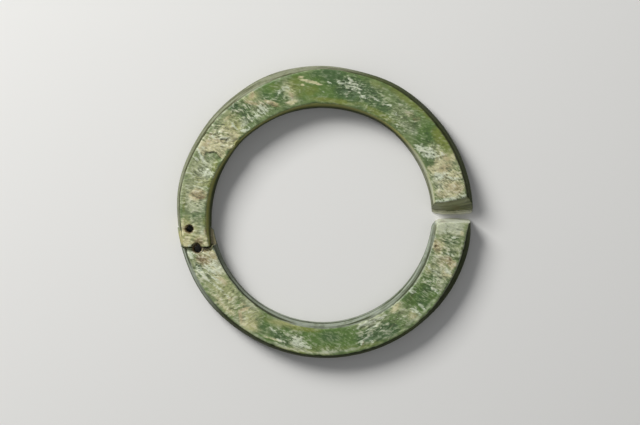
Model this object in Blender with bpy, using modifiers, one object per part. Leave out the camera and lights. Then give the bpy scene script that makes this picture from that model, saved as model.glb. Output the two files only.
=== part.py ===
"""A slit ring earring of green stone, in metres, +Z up, lying flat on its underside.

The ring was ground round, with an opening drilled a little off its centre and a narrow slit sawn
through the band, here towards +X. It broke once, opposite the slit. The two halves were put back
together with a lap, the upper half's end over a thin tongue of the lower half, and laced through
two small drilled holes. The mend moved the lower half up by more than a millimetre, so each half
is worked from the same ring, but set at its own place.
"""

import math
from dataclasses import dataclass

import bmesh
import bpy
from mathutils import Vector

# The ring as it was first ground: its opening, and the mean width of the band round it
OPENING_RADIUS = 0.0231
BAND_WIDTH = 0.0081
OUTER_RADIUS = OPENING_RADIUS + BAND_WIDTH
OPENING_OFF_CENTRE_X = -0.0005
OPENING_OFF_CENTRE_Y = -0.0008

# The thickness of each half, and how its side walls bulge between its two flat faces. The foot's
# lean fades out over some degrees towards the slit, where the corners are sharp.
UPPER_THICKNESS = 0.0050
LOWER_THICKNESS = 0.0045
WIDEST_LINE_HEIGHT = 0.0018
FOOT_LEAN = 0.0004
FOOT_CURVE = 2.0
SLIT_FOOT_SPREAD = 12.0
WALL_CURVE = 1.5
ARRIS_ROUND = 0.00025

# Where the mend set the lower half, seen from the upper half
MEND_SHIFT_X = 0.0002
MEND_SHIFT_Y = 0.00135

# The slit: its width at the middle of the band, where it lies, and how its sides bow and lean.
# The saw stopped short of the upper half's underside, and the stone left there broke off as a lip.
SLIT_WIDTH = 0.00072
SLIT_MIDDLE_Y = -0.00045
SLIT_BOW = 0.0004
SLIT_BOW_CURVE = 2.4
UPPER_SLIT_LEAN_INNER = 0.0022
UPPER_SLIT_LEAN_OUTER = 0.0040
UPPER_SLIT_LIP = 0.0009
UPPER_SLIT_LIP_HEIGHT = 0.0010
LOWER_SLIT_LEAN = 0.0009
SLIT_LEAN_CURVE = 1.2
SLIT_CORNER = 0.0007

# The lap: the upper half's end, the length of the tongue under it, and the tongue's thickness
LAP_END_Y = -0.00664
LAP_LENGTH = 0.00384
LAP_CORNER = 0.0006
TONGUE_THICKNESS = 0.0024
JOINT_GAP = 0.0003

# The two lacing holes, placed outward of the band's middle line and near the ends of the lap. The
# lower one also bit into the upper half's end, and the mend moved that notch a little off the hole.
UPPER_HOLE_DIAMETER = 0.0015
UPPER_HOLE_OUTWARD = 0.0008
UPPER_HOLE_BEFORE_END = 0.0002
LOWER_HOLE_DIAMETER = 0.0017
LOWER_HOLE_OUTWARD = 0.0005
LOWER_HOLE_PAST_END = 0.00053
NOTCH_SHIFT_X = -0.00025
NOTCH_SHIFT_Y = 0.00035
HOLE_MOUTH_WIDENING = 0.0003
HOLE_MOUTH_DEPTH = 0.0008

# How finely the round forms are divided
STATION_DEGREES = 3.0
HOLE_SEGMENTS = 20
FACE_STEPS = 24
SLIT_HEIGHT_STEPS = 16
LAP_HEIGHT_STEPS = 1
CUT_MARGIN = 0.0015
WELD = 0.00001


@dataclass
class Half:
    """One half of the ring. Angles are degrees, anticlockwise from the slit at +X.

    The flats are stretches where hand grinding left the outline, or the opening's edge, inside or
    outside its circle: an angle, its spread, and how far out the edge lies. The leans say how far
    the top's edge stands in from the wall's widest line, outside and in the opening.
    """

    name: str
    centre: Vector
    thickness: float
    start: float
    end: float
    flats: tuple
    opening_flats: tuple
    outer_leans: tuple
    opening_leans: tuple
    colour: tuple


UPPER = Half(
    name="upper_half_ring",
    centre=Vector((0.0, 0.0)),
    thickness=UPPER_THICKNESS,
    start=-6.0,
    end=204.0,
    flats=(
        (45, 16, -0.00012),
        (76, 10, -0.00030),
        (112, 12, 0.00028),
        (152, 10, -0.00012),
        (186, 11, -0.0005),
    ),
    opening_flats=((56, 16, 0.00026), (138, 8, 0.00012), (200, 9, 0.0009)),
    outer_leans=((0, 0.0011), (25, 0.0013), (88, 0.0008), (114, 0.0016), (145, 0.0011), (178, 0.0007)),
    opening_leans=(
        (0, 0.0007),
        (25, 0.0010),
        (55, 0.0007),
        (95, 0.0009),
        (122, 0.0005),
        (140, 0.0005),
        (168, 0.0012),
        (188, 0.0011),
        (194, 0.0005),
    ),
    colour=(0.20, 0.27, 0.10, 1.0),
)

LOWER = Half(
    name="lower_half_ring",
    centre=Vector((MEND_SHIFT_X, MEND_SHIFT_Y)),
    thickness=LOWER_THICKNESS,
    start=178.0,
    end=362.0,
    flats=((216, 12, 0.00024), (280, 60, 0.00027), (324, 14, 0.00014), (359, 9, -0.0008)),
    opening_flats=((330, 40, -0.00019),),
    outer_leans=(
        (190, 0.0009),
        (225, 0.0010),
        (265, 0.0006),
        (300, 0.0007),
        (338, 0.0013),
        (348, 0.0012),
        (357, 0.0002),
    ),
    opening_leans=((190, 0.0009), (215, 0.0008), (270, 0.0013), (320, 0.0014), (345, 0.0010), (358, 0.0008)),
    colour=(0.24, 0.30, 0.15, 1.0),
)


def ray_at(angle):
    return Vector((math.cos(math.radians(angle)), math.sin(math.radians(angle))))


def eased(stations, angle):
    """A value read between hand-set stations of (angle, value), easing from each to the next."""
    for (from_angle, from_value), (to_angle, to_value) in zip(stations, stations[1:]):
        if from_angle <= angle <= to_angle:
            share = (angle - from_angle) / (to_angle - from_angle)
            return from_value + (to_value - from_value) * (1.0 - math.cos(math.pi * share)) / 2.0
    nearest = min(stations, key=lambda station: abs(station[0] - angle))
    return nearest[1]


def ground_off(flats, angle):
    """How far hand grinding left an edge outside its circle at an angle."""
    return sum(out * math.exp(-(((angle - at) / spread) ** 2)) for at, spread, out in flats)


def outline_distance(half, angle):
    """From the half's centre to its outer outline."""
    return OUTER_RADIUS + ground_off(half.flats, angle)


def opening_distance(half, angle):
    """From the half's centre to the edge of the opening, whose circle is off that centre."""
    off_centre = Vector((OPENING_OFF_CENTRE_X, OPENING_OFF_CENTRE_Y))
    along = off_centre.dot(ray_at(angle))
    to_circle = along + math.sqrt(along**2 - off_centre.length_squared + OPENING_RADIUS**2)
    return to_circle + ground_off(half.opening_flats, angle)


def foot_lean(angle):
    """How far the underside's edge stands in from the wall's widest line at an angle."""
    from_slit = min(angle % 360.0, -angle % 360.0)
    return FOOT_LEAN * (1.0 - math.exp(-((from_slit / SLIT_FOOT_SPREAD) ** 2)))


def wall_profile(foot, lean, thickness):
    """One side wall from the underside to the top, as (distance in from the widest line, height)."""
    rise = thickness - WIDEST_LINE_HEIGHT
    profile = [(foot + ARRIS_ROUND, 0.0), (foot + ARRIS_ROUND * 0.2, ARRIS_ROUND * 0.3)]
    for share in (0.3, 0.65, 1.0):
        profile.append((foot * (1.0 - share) ** FOOT_CURVE, WIDEST_LINE_HEIGHT * share))
    for share in (0.25, 0.5, 0.75):
        profile.append((lean * share**WALL_CURVE, WIDEST_LINE_HEIGHT + rise * share))
    last_share = 1.0 - ARRIS_ROUND / rise
    profile.append((lean * last_share**WALL_CURVE, thickness - ARRIS_ROUND))
    profile.append((lean + ARRIS_ROUND * 0.2, thickness - ARRIS_ROUND * 0.3))
    profile.append((lean + ARRIS_ROUND, thickness))
    return profile


def section(half, angle):
    """The ring's closed section at one angle, as (distance from the centre, height)."""
    outside = outline_distance(half, angle)
    inside = opening_distance(half, angle)
    outer_wall = wall_profile(foot_lean(angle), eased(half.outer_leans, angle), half.thickness)
    opening_wall = wall_profile(foot_lean(angle), eased(half.opening_leans, angle), half.thickness)
    points = [(outside - lean, height) for lean, height in outer_wall]
    points += [(inside + lean, height) for lean, height in reversed(opening_wall)]
    return points


def across_slit(half, x):
    """Where x lies across the band at the slit: -1 at the opening and 1 at the outer edge."""
    inside = half.centre.x + opening_distance(half, 0.0)
    outside = half.centre.x + OUTER_RADIUS
    return max(-1.1, min(1.1, 2.0 * (x - inside) / (outside - inside) - 1.0))


def share_of(height, low, high):
    """How far a height is up from low to high, from 0 to 1."""
    return max(0.0, min(1.0, (height - low) / (high - low)))


def upper_slit_face(x, z):
    """The sawn end of the upper half, which slopes back so far that it shows from above."""
    across = across_slit(UPPER, x)
    outer_share = (across + 1.0) / 2.0
    lean = UPPER_SLIT_LEAN_INNER + (UPPER_SLIT_LEAN_OUTER - UPPER_SLIT_LEAN_INNER) * outer_share
    bow = SLIT_BOW * abs(across) ** SLIT_BOW_CURVE
    up_lip = share_of(z, 0.0, UPPER_SLIT_LIP_HEIGHT)
    up_cut = share_of(z, UPPER_SLIT_LIP_HEIGHT, UPPER_THICKNESS)
    sloped = UPPER_SLIT_LIP * up_lip + (lean - UPPER_SLIT_LIP) * up_cut**SLIT_LEAN_CURVE
    return SLIT_MIDDLE_Y + SLIT_WIDTH / 2.0 + bow + sloped


def lower_slit_face(x, z):
    """The sawn end of the lower half, steeper, with its corner at the opening taken off."""
    across = across_slit(LOWER, x)
    bow = SLIT_BOW * abs(across) ** SLIT_BOW_CURVE
    lean = LOWER_SLIT_LEAN * share_of(z, 0.0, LOWER_THICKNESS) ** SLIT_LEAN_CURVE
    corner_x = LOWER.centre.x + opening_distance(LOWER, 0.0) + SLIT_CORNER
    corner = max(0.0, corner_x - x)
    return SLIT_MIDDLE_Y - SLIT_WIDTH / 2.0 - bow - lean - corner


def band_edges_at(half, y):
    """The X of the outline and of the opening's edge, at the left of the ring, at one Y."""
    outline_x = half.centre.x - math.sqrt(OUTER_RADIUS**2 - (y - half.centre.y) ** 2)
    opening_y = y - half.centre.y - OPENING_OFF_CENTRE_Y
    opening_x = half.centre.x + OPENING_OFF_CENTRE_X - math.sqrt(OPENING_RADIUS**2 - opening_y**2)
    return outline_x, opening_x


def into_lap_corner(x, inner_x):
    """How far a lap end is drawn in at x, where its corner at the opening is rounded off."""
    into_corner = max(0.0, min(1.0, (x - inner_x + LAP_CORNER) / LAP_CORNER))
    return LAP_CORNER * (1.0 - math.sqrt(1.0 - into_corner**2))


def lap_end_face(x, z):
    """The upper half's end at the lap, straight, with its corner at the opening rounded off."""
    lap_angle = 180.0 + math.degrees(math.asin(-LAP_END_Y / OPENING_RADIUS))
    inner_x = band_edges_at(UPPER, LAP_END_Y)[1] - ground_off(UPPER.opening_flats, lap_angle)
    return LAP_END_Y + into_lap_corner(x, inner_x)


def shoulder_face(x, z):
    """The lower half's shoulder, which the upper half's end meets."""
    return lap_end_face(x, z) - JOINT_GAP


def tongue_end_face(x, z):
    """The end of the lower half's tongue, with its corner at the opening rounded off."""
    inner_x = band_edges_at(LOWER, LAP_END_Y + LAP_LENGTH)[1]
    return LAP_END_Y + LAP_LENGTH - into_lap_corner(x, inner_x)


def recess_end_face(x, z):
    """The end of the upper half's recess, which takes the tongue."""
    return LAP_END_Y + LAP_LENGTH + JOINT_GAP


def new_object(name, mesh, collection):
    made = bpy.data.objects.new(name, mesh)
    collection.objects.link(made)
    made.parent = ring_centre
    return made


def stone(name, colour):
    """Ground and worn jade-like stone."""
    made = bpy.data.materials.new(name)
    made.use_nodes = True
    shader = made.node_tree.nodes["Principled BSDF"]
    shader.inputs["Base Color"].default_value = colour
    shader.inputs["Roughness"].default_value = 0.35
    shader.inputs["Metallic"].default_value = 0.0
    made.diffuse_color = colour
    return made


def blank(half):
    """The half's uncut band: its sections lofted round, a little past both of its ends."""
    shape = bmesh.new()
    steps = round((half.end - half.start) / STATION_DEGREES)
    rings = []
    for step in range(steps + 1):
        angle = half.start + (half.end - half.start) * step / steps
        ring = []
        for distance, height in section(half, angle):
            place = half.centre + ray_at(angle) * distance
            ring.append(shape.verts.new((place.x, place.y, height)))
        rings.append(ring)
    for ring, following in zip(rings, rings[1:]):
        for point in range(len(ring)):
            beside = (point + 1) % len(ring)
            shape.faces.new((ring[point], ring[beside], following[beside], following[point]))
    shape.faces.new(rings[0])
    shape.faces.new(rings[-1])
    bmesh.ops.recalc_face_normals(shape, faces=shape.faces[:])
    mesh = bpy.data.meshes.new(half.name)
    shape.to_mesh(mesh)
    shape.free()
    mesh.shade_smooth()
    mesh.set_sharp_from_angle(angle=math.radians(30.0))
    mesh.materials.append(stone(half.name + "_stone", half.colour))
    return new_object(half.name, mesh, earring)


def as_cutter(made):
    made.hide_render = True
    made.display_type = "WIRE"
    return made


def faced_block(name, face, far_y, x_range, z_range, height_steps):
    """A cutter whose near side follows face(x, z) as its Y, and whose far side is flat at far_y."""
    shape = bmesh.new()
    bmesh.ops.create_grid(shape, x_segments=FACE_STEPS, y_segments=height_steps, size=0.5)
    for vert in shape.verts:
        x = x_range[0] + (x_range[1] - x_range[0]) * (vert.co.x + 0.5)
        z = z_range[0] + (z_range[1] - z_range[0]) * (vert.co.y + 0.5)
        vert.co = (x, face(x, z), z)
    grown = bmesh.ops.extrude_face_region(shape, geom=shape.faces[:])
    for part in grown["geom"]:
        if isinstance(part, bmesh.types.BMVert):
            part.co.y = far_y
    bmesh.ops.recalc_face_normals(shape, faces=shape.faces[:])
    mesh = bpy.data.meshes.new(name)
    shape.to_mesh(mesh)
    shape.free()
    return as_cutter(new_object(name, mesh, cutters))


def hole_cutter(name, diameter, x, y, top):
    """A turned cutter for a lacing hole: straight, with a mouth that widens at the top face."""
    radius = diameter / 2.0
    mouth = radius + HOLE_MOUTH_WIDENING / 2.0
    profile = (
        (0.0, top + CUT_MARGIN),
        (mouth, top + CUT_MARGIN),
        (mouth, top),
        (radius, top - HOLE_MOUTH_DEPTH),
        (radius, -CUT_MARGIN),
        (0.0, -CUT_MARGIN),
    )
    edges = [(point, point + 1) for point in range(len(profile) - 1)]
    mesh = bpy.data.meshes.new(name)
    mesh.from_pydata([(out, 0.0, height) for out, height in profile], edges, [])
    made = new_object(name, mesh, cutters)
    made.location = (x, y, 0.0)
    turned = made.modifiers.new("turned", "SCREW")
    turned.steps = HOLE_SEGMENTS
    turned.render_steps = HOLE_SEGMENTS
    turned.use_merge_vertices = True
    turned.merge_threshold = WELD
    return as_cutter(made)


def cut(made, cutter):
    """Takes the cutter's volume away from the half."""
    step = made.modifiers.new(cutter.name, "BOOLEAN")
    step.operation = "DIFFERENCE"
    step.solver = "EXACT"
    step.object = cutter


def saw_slit(upper, lower):
    """Ends both halves at the slit."""
    x_range = (OPENING_RADIUS - 2.0 * CUT_MARGIN, OUTER_RADIUS + CUT_MARGIN)
    z_range = (-CUT_MARGIN, UPPER_THICKNESS + CUT_MARGIN)
    past_blanks = OUTER_RADIUS * math.sin(math.radians(10.0))
    steps = SLIT_HEIGHT_STEPS
    cut(upper, faced_block("upper_slit_cut", upper_slit_face, -past_blanks, x_range, z_range, steps))
    cut(lower, faced_block("lower_slit_cut", lower_slit_face, past_blanks, x_range, z_range, steps))


def work_lap(upper, lower):
    """Ends both halves at the break, the upper one over the lower one's tongue."""
    x_range = (-OUTER_RADIUS - CUT_MARGIN, -OPENING_RADIUS * 0.8)
    below_upper = LAP_END_Y - OUTER_RADIUS * math.sin(math.radians(20.0))
    above_lower = OUTER_RADIUS * math.sin(math.radians(10.0))
    through = (-CUT_MARGIN, UPPER_THICKNESS + CUT_MARGIN)
    under = (-CUT_MARGIN, TONGUE_THICKNESS + JOINT_GAP)
    over = (TONGUE_THICKNESS, UPPER_THICKNESS + CUT_MARGIN)
    steps = LAP_HEIGHT_STEPS
    cut(upper, faced_block("upper_end_cut", lap_end_face, below_upper, x_range, through, steps))
    cut(upper, faced_block("recess_cut", recess_end_face, below_upper, x_range, under, steps))
    cut(lower, faced_block("shoulder_cut", shoulder_face, above_lower, x_range, over, steps))
    cut(lower, faced_block("tongue_end_cut", tongue_end_face, above_lower, x_range, through, steps))


def drill_holes(upper, lower):
    """Drills both lacing holes through whatever lies there of either half."""
    upper_y = LAP_END_Y + LAP_LENGTH - UPPER_HOLE_BEFORE_END
    lower_y = LAP_END_Y - LOWER_HOLE_PAST_END
    upper_x = sum(band_edges_at(UPPER, upper_y)) / 2.0 - UPPER_HOLE_OUTWARD
    lower_x = sum(band_edges_at(LOWER, lower_y)) / 2.0 - LOWER_HOLE_OUTWARD
    upper_hole = hole_cutter("upper_hole", UPPER_HOLE_DIAMETER, upper_x, upper_y, UPPER_THICKNESS)
    lower_hole = hole_cutter("lower_hole", LOWER_HOLE_DIAMETER, lower_x, lower_y, LOWER_THICKNESS)
    notch_x = lower_x + NOTCH_SHIFT_X
    notch_y = lower_y + NOTCH_SHIFT_Y
    cut(upper, hole_cutter("upper_end_notch", LOWER_HOLE_DIAMETER, notch_x, notch_y, UPPER_THICKNESS))
    for hole in (upper_hole, lower_hole):
        cut(upper, hole)
        cut(lower, hole)


def centre_on_footprint(made):
    """Moves the ring so that the middle of its outer box is over the origin."""
    bpy.context.view_layer.update()
    graph = bpy.context.evaluated_depsgraph_get()
    corners = []
    for part in made:
        evaluated = part.evaluated_get(graph)
        corners += [evaluated.matrix_world @ vert.co for vert in evaluated.data.vertices]
    for axis in (0, 1):
        values = [corner[axis] for corner in corners]
        ring_centre.location[axis] -= (min(values) + max(values)) / 2.0
    bpy.context.view_layer.update()


for old in list(bpy.data.objects):
    bpy.data.objects.remove(old, do_unlink=True)

earring = bpy.data.collections.new("slit_ring_earring")
cutters = bpy.data.collections.new("cutters")
bpy.context.scene.collection.children.link(earring)
bpy.context.scene.collection.children.link(cutters)
ring_centre = bpy.data.objects.new("ring_centre", None)
earring.objects.link(ring_centre)

upper_half = blank(UPPER)
lower_half = blank(LOWER)
saw_slit(upper_half, lower_half)
work_lap(upper_half, lower_half)
drill_holes(upper_half, lower_half)
centre_on_footprint((upper_half, lower_half))
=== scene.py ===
import math

import bpy
import numpy as np
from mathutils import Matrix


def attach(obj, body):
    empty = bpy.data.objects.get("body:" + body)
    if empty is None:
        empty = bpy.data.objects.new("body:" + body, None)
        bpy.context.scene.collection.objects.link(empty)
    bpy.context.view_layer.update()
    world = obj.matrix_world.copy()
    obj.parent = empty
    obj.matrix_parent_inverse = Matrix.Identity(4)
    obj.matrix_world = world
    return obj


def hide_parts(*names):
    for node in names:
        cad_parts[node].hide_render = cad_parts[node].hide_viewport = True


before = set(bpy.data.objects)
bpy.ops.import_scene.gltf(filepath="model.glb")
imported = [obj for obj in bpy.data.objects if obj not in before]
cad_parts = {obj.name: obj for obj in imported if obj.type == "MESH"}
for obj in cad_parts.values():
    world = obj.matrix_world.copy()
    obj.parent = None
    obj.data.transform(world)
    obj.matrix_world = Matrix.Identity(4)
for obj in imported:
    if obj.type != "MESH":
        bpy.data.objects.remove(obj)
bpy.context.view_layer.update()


# The upper half of the ring.
# A half hoop of jade, ground flat above and below and rounded at its sides, running from the
# sawn slit over the top to its broken end. It was drilled there and laid over the other half.

MM = 0.001
STONE_VOXEL = 0.00017


def fine_copy(node, name):
    """An even, fine mesh of one half's solid, ready for its relief."""
    rough = bpy.data.objects.new(name + "_rough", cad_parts[node].data.copy())
    bpy.context.scene.collection.objects.link(rough)
    evened = rough.modifiers.new("evened", "REMESH")
    evened.mode = "VOXEL"
    evened.voxel_size = STONE_VOXEL
    evened.use_smooth_shade = True
    graph = bpy.context.evaluated_depsgraph_get()
    mesh = bpy.data.meshes.new_from_object(rough.evaluated_get(graph))
    mesh.name = name
    bpy.data.objects.remove(rough, do_unlink=True)
    mesh.materials.clear()
    piece = bpy.data.objects.new(name, mesh)
    bpy.context.scene.collection.objects.link(piece)
    return piece


def read_vectors(layer, count, name):
    """Places or normals of a mesh's points, one row each."""
    values = np.empty(count * 3, np.float32)
    layer.foreach_get(name, values)
    return values.reshape(-1, 3).astype(float)


def eased(low, high, values):
    """0 at low, 1 at high, with a smooth rise between. Low may be the greater of the two."""
    share = np.clip((values - low) / (high - low), 0.0, 1.0)
    return share * share * (3.0 - 2.0 * share)


def grain(points, lump, seed):
    """Smooth noise from -1 to 1 whose lumps have the given size in millimetres, or three sizes.

    Each corner of a lattice of lumps has a value of its own, hashed from its place and the seed.
    """
    cell = points / (np.asarray(lump, float) * MM)
    low = np.floor(cell).astype(np.int64)
    share = cell - low
    share = share * share * (3.0 - 2.0 * share)
    total = np.zeros(len(points))
    for corner in np.ndindex(2, 2, 2):
        at = low + np.array(corner)
        mixed = (at[:, 0] * 73856093) ^ (at[:, 1] * 19349663) ^ (at[:, 2] * 83492791)
        mixed = mixed ^ (seed * 7919 + 17)
        mixed = (mixed * 1103515245 + 12345) & 0x7FFFFFFF
        mixed = (mixed ^ (mixed >> 13)) * 1274126177 & 0x7FFFFFFF
        value = ((mixed >> 7) & 0xFFFF) / 32767.5 - 1.0
        total += value * np.prod(np.where(corner, share, 1.0 - share), axis=1)
    return total


def wavering(points, waves, seed):
    """Noise made of several waves, each with its strength and the size of its lumps."""
    return sum(strength * grain(points, lump, seed + step) for step, (strength, lump) in enumerate(waves))


def round_ring(points):
    """The angle of each point, in degrees from the slit at +X, from 0 to 360."""
    return np.degrees(np.arctan2(points[:, 1], points[:, 0])) % 360.0


def from_axis(points):
    """The distance of each point from the ring's axis, in metres."""
    return np.hypot(points[:, 0], points[:, 1])


def along_fabric(points, tilt):
    """The points turned so that X runs along the stone's fabric."""
    turn = math.radians(tilt)
    turned = points.copy()
    turned[:, 0] = points[:, 0] * math.cos(turn) + points[:, 1] * math.sin(turn)
    turned[:, 1] = points[:, 1] * math.cos(turn) - points[:, 0] * math.sin(turn)
    return turned


def evenly_spread(values):
    """The values' ranks, from 0 to 1, so that a threshold of 0.7 leaves three tenths above it."""
    ranks = np.empty(len(values))
    ranks[np.argsort(values, kind="stable")] = np.linspace(0.0, 1.0, len(values))
    return ranks


# A tilt that is further than the spread from the usual one is a steep one.
USUAL_TILT = -16.0
USUAL_SPREAD = 15.0
# Each bend of the fibres: how far it goes, the size of its lumps, and its own step of the seed.
FIBRE_BENDS = ((0.50, 2.6, 0), (0.22, 0.8, 2))
# Each kind of fibre: its share, its length, width and height, and its own step of the seed.
FIBRE_KINDS = (
    (0.36, (2.0, 0.70, 1.2), 4),
    (0.34, (0.9, 0.46, 0.7), 5),
    (0.30, (3.2, 0.36, 1.0), 14),
)
FRAYED = 0.10
FRAY_LUMP = 0.38


def stretches(points, fabric):
    """For each stretch of the fabric, its tilt and how much of it holds at each point.

    The fabric is a list of an angle round the ring, how far it holds, and the tilt there.
    """
    angles = round_ring(points)
    return [(tilt, np.exp(-(((angles - at) / spread) ** 4))) for at, spread, tilt in fabric]


def fibres(points, fabric, seed):
    """Wavy matted fibres, 0 in the hollows and 1 on the crests, drawn out along the fabric."""
    bent = points.copy()
    for axis in (0, 1):
        for reach, lump, step in FIBRE_BENDS:
            bent[:, axis] += reach * MM * grain(points, lump, seed + step + axis)
    total = np.zeros(len(points))
    weight = np.full(len(points), 1e-6)
    for tilt, share in stretches(points, fabric):
        turned = along_fabric(bent, tilt)
        ridges = sum(part * -np.abs(grain(turned, lump, seed + step)) for part, lump, step in FIBRE_KINDS)
        total += share * ridges
        weight += share
    return evenly_spread(total / weight + FRAYED * grain(points, FRAY_LUMP, seed + 6))


def steep_share(points, fabric):
    """How far the fabric at each point turns from its usual tilt to the steep one, 0 to 1."""
    steep = np.zeros(len(points))
    weight = np.full(len(points), 1e-6)
    for tilt, share in stretches(points, fabric):
        steep += share * (abs(tilt - USUAL_TILT) > USUAL_SPREAD)
        weight += share
    return steep / weight


# A patch's place is given at this height, and moves by the dip for each millimetre further down.
VEIN_LEVEL = 5.0
VEIN_DIP_X = 0.35
VEIN_DIP_Y = -0.25
PATCH_WAVES = ((0.6, 1.6), (0.4, 0.7))
PATCH_WAVER = 0.50
WIDEST_WAVER = 1.6
FADE_OUTSIDE = 0.6


def patches(points, places, seed, soft=0.75):
    """How far each point lies inside any of the places, 0 to 1, with wavering and fading edges.

    A place is an angle in degrees and a radius in millimetres for its middle, its half length and
    half width in millimetres, the tilt of its length from +X in degrees, and its strength. Places
    dip through the stone, as veins do, so that they lie elsewhere on the underside.
    """
    depth = VEIN_LEVEL * MM - points[:, 2]
    x = (points[:, 0] + depth * VEIN_DIP_X) / MM
    y = (points[:, 1] + depth * VEIN_DIP_Y) / MM
    waver_x = wavering(points, PATCH_WAVES, seed)
    waver_y = wavering(points, PATCH_WAVES, seed + 2)
    inside_any = np.zeros(len(points))
    for angle, radius, half_length, half_width, tilt, strength in places:
        waver = PATCH_WAVER * min(half_width, WIDEST_WAVER)
        away_x = x + waver * waver_x - radius * math.cos(math.radians(angle))
        away_y = y + waver * waver_y - radius * math.sin(math.radians(angle))
        turn = math.radians(tilt)
        along = (away_x * math.cos(turn) + away_y * math.sin(turn)) / half_length
        across = (away_y * math.cos(turn) - away_x * math.sin(turn)) / half_width
        inside = strength * eased(1.0 + soft * FADE_OUTSIDE, 1.0 - soft, np.hypot(along, across))
        inside_any = np.maximum(inside_any, inside)
    return inside_any


# A ledge's brink and the reach of the painted shadow at its foot are in millimetres past its edge, and its
# ends are in half lengths from its middle.
LEDGE_WAVES = ((0.34, 1.1), (0.14, 0.45))
LEDGE_BRINK = (-0.06, 0.14)
LEDGE_ENDS = (1.1, 0.6)
SHADED_FOOT_REACH = (0.34, 0.10)
# From this height a ledge's foot has its full painted shadow, and above the next the crust below it is
# gone.
SHADED_FOOT_FROM = 0.25
HOLLOW_FROM = 0.3


def below_ledges(points, ledges, seed):
    """How far the face drops below its ledges, in millimetres, the painted shadow at each ledge's foot,
    and its hollow.

    A ledge is an angle in degrees and a radius in millimetres for its middle, its half length, the
    tilt of its edge from +X, how far the face drops on the edge's right, and how far that reaches.
    """
    x, y = points[:, 0] / MM, points[:, 1] / MM
    waver = wavering(points, LEDGE_WAVES, seed)
    drop = np.zeros(len(points))
    foot = np.zeros(len(points))
    hollow = np.zeros(len(points))
    for angle, radius, half_length, tilt, height, reach in ledges:
        away_x = x - radius * math.cos(math.radians(angle))
        away_y = y - radius * math.sin(math.radians(angle))
        turn = math.radians(tilt)
        along = away_x * math.cos(turn) + away_y * math.sin(turn)
        below = away_x * math.sin(turn) - away_y * math.cos(turn) + waver
        within = eased(*LEDGE_ENDS, np.abs(along) / half_length) * eased(*LEDGE_BRINK, below)
        fading = np.exp(-np.maximum(below, 0.0) / reach)
        darkness = min(1.0, height / SHADED_FOOT_FROM)
        drop = np.maximum(drop, height * within * fading)
        # The foot's darkness is painted shadow under the ledge.
        foot = np.maximum(foot, within * eased(*SHADED_FOOT_REACH, below) * darkness)
        hollow = np.maximum(hollow, within * eased(2.0 * reach, reach, below) * (height > HOLLOW_FROM))
    return drop, foot, hollow


# The lap, in millimetres: its reach, the upper half's broken end and the tongue's end along Y, the
# bed between them, and how far its faces swell within how far of where they should meet.
LAP_REACH_X = -20.0
LAP_REACH_Y = (-9.0, -3.0)
LAP_EDGE_Y = -7.32
TONGUE_END_Y = -3.18
LAP_BED_Z = 2.55
LAP_SWELL = 0.12
LAP_FADE = (0.40, 0.25)


def close_the_lap(points, normals):
    """How far the faces of the lap swell, in millimetres, so that the broken ends nearly meet."""
    x, y, z = points.T / MM
    at_lap = (x < LAP_REACH_X) & (y > LAP_REACH_Y[0]) & (y < LAP_REACH_Y[1])
    from_end = np.minimum(np.abs(y - LAP_EDGE_Y), np.abs(y - TONGUE_END_Y))
    end_faces = eased(*LAP_FADE, from_end) * eased(0.3, 0.7, np.abs(normals[:, 1]))
    bed_faces = eased(*LAP_FADE, np.abs(z - LAP_BED_Z)) * eased(0.6, 0.9, np.abs(normals[:, 2]))
    return at_lap * LAP_SWELL * np.maximum(end_faces, bed_faces)


# The slit's sides lie beyond this X and above this Y, in millimetres, the lower half's mirrored.
SLIT_REACH_X = (18.0, 20.0)
SLIT_REACH_Y = (-6.0, -4.0)


def worked_faces(points, normals, slit_side):
    """How far each point is on the flat face, a side wall, the sawn end and an arris, 0 to 1.

    The slit side is 1 for the half above the slit and -1 for the one below it.
    """
    radial = (points[:, 0] * normals[:, 0] + points[:, 1] * normals[:, 1]) / from_axis(points)
    upward = normals[:, 2]
    face = eased(0.70, 0.95, upward)
    wall = eased(0.96, 0.70, np.abs(upward)) * eased(0.20, 0.50, np.abs(radial))
    at_slit = eased(*SLIT_REACH_X, points[:, 0] / MM) * eased(*SLIT_REACH_Y, points[:, 1] * slit_side / MM)
    sawn = at_slit * eased(0.95, 0.80, np.abs(upward)) * eased(0.8, 0.5, np.abs(radial))
    arris = eased(0.35, 0.65, upward) * eased(0.99, 0.85, upward)
    return face, wall, sawn, arris


# The lines' lumps in millimetres: along X, or round the wall for the first two, along Y, and up.
LONG_LINES = (9.0, 1.0, 0.46)
SHORT_LINES = (4.0, 1.0, 0.24)
SAW_LINES = (5.0, 9.0, 0.34)
# The groove that the grinding left under the arris: how far down, how wide, and how it wavers. Through the
# walls' lines it also darkens their colour there, as painted shade.
UNDERCUT_DEPTH = 0.40
UNDERCUT_WIDTH = 0.22
UNDERCUT_WAVER = 0.15
UNDERCUT_WAVER_LUMP = (5.0, 1.0, 9.0)
UNDERCUT_BREAKS_LUMP = (4.0, 1.0, 3.0)


def tool_marks(points, top, seed):
    """The grinding lines along the walls, undercut in places at the arris, and the saw's lines."""
    around = from_axis(points) * np.radians(round_ring(points))
    unrolled = np.stack([around, around * 0.0, points[:, 2]], axis=1)
    ground = 0.6 * grain(unrolled, LONG_LINES, seed + 7) + 0.4 * grain(unrolled, SHORT_LINES, seed + 8)
    waver = UNDERCUT_WAVER * grain(unrolled, UNDERCUT_WAVER_LUMP, seed + 12)
    below_arris = top - points[:, 2] / MM + waver
    undercut = np.exp(-(((below_arris - UNDERCUT_DEPTH) / UNDERCUT_WIDTH) ** 2))
    unbroken = eased(-0.6, 0.4, grain(unrolled, UNDERCUT_BREAKS_LUMP, seed + 13))
    return ground - 0.9 * undercut * unbroken, grain(points, SAW_LINES, seed + 9)


# Distances from the ring's axis, in millimetres, that part the opening's side from the outer one.
OPENING_SIDE = (28.0, 26.0)
OUTER_SIDE = (26.5, 28.5)
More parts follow.
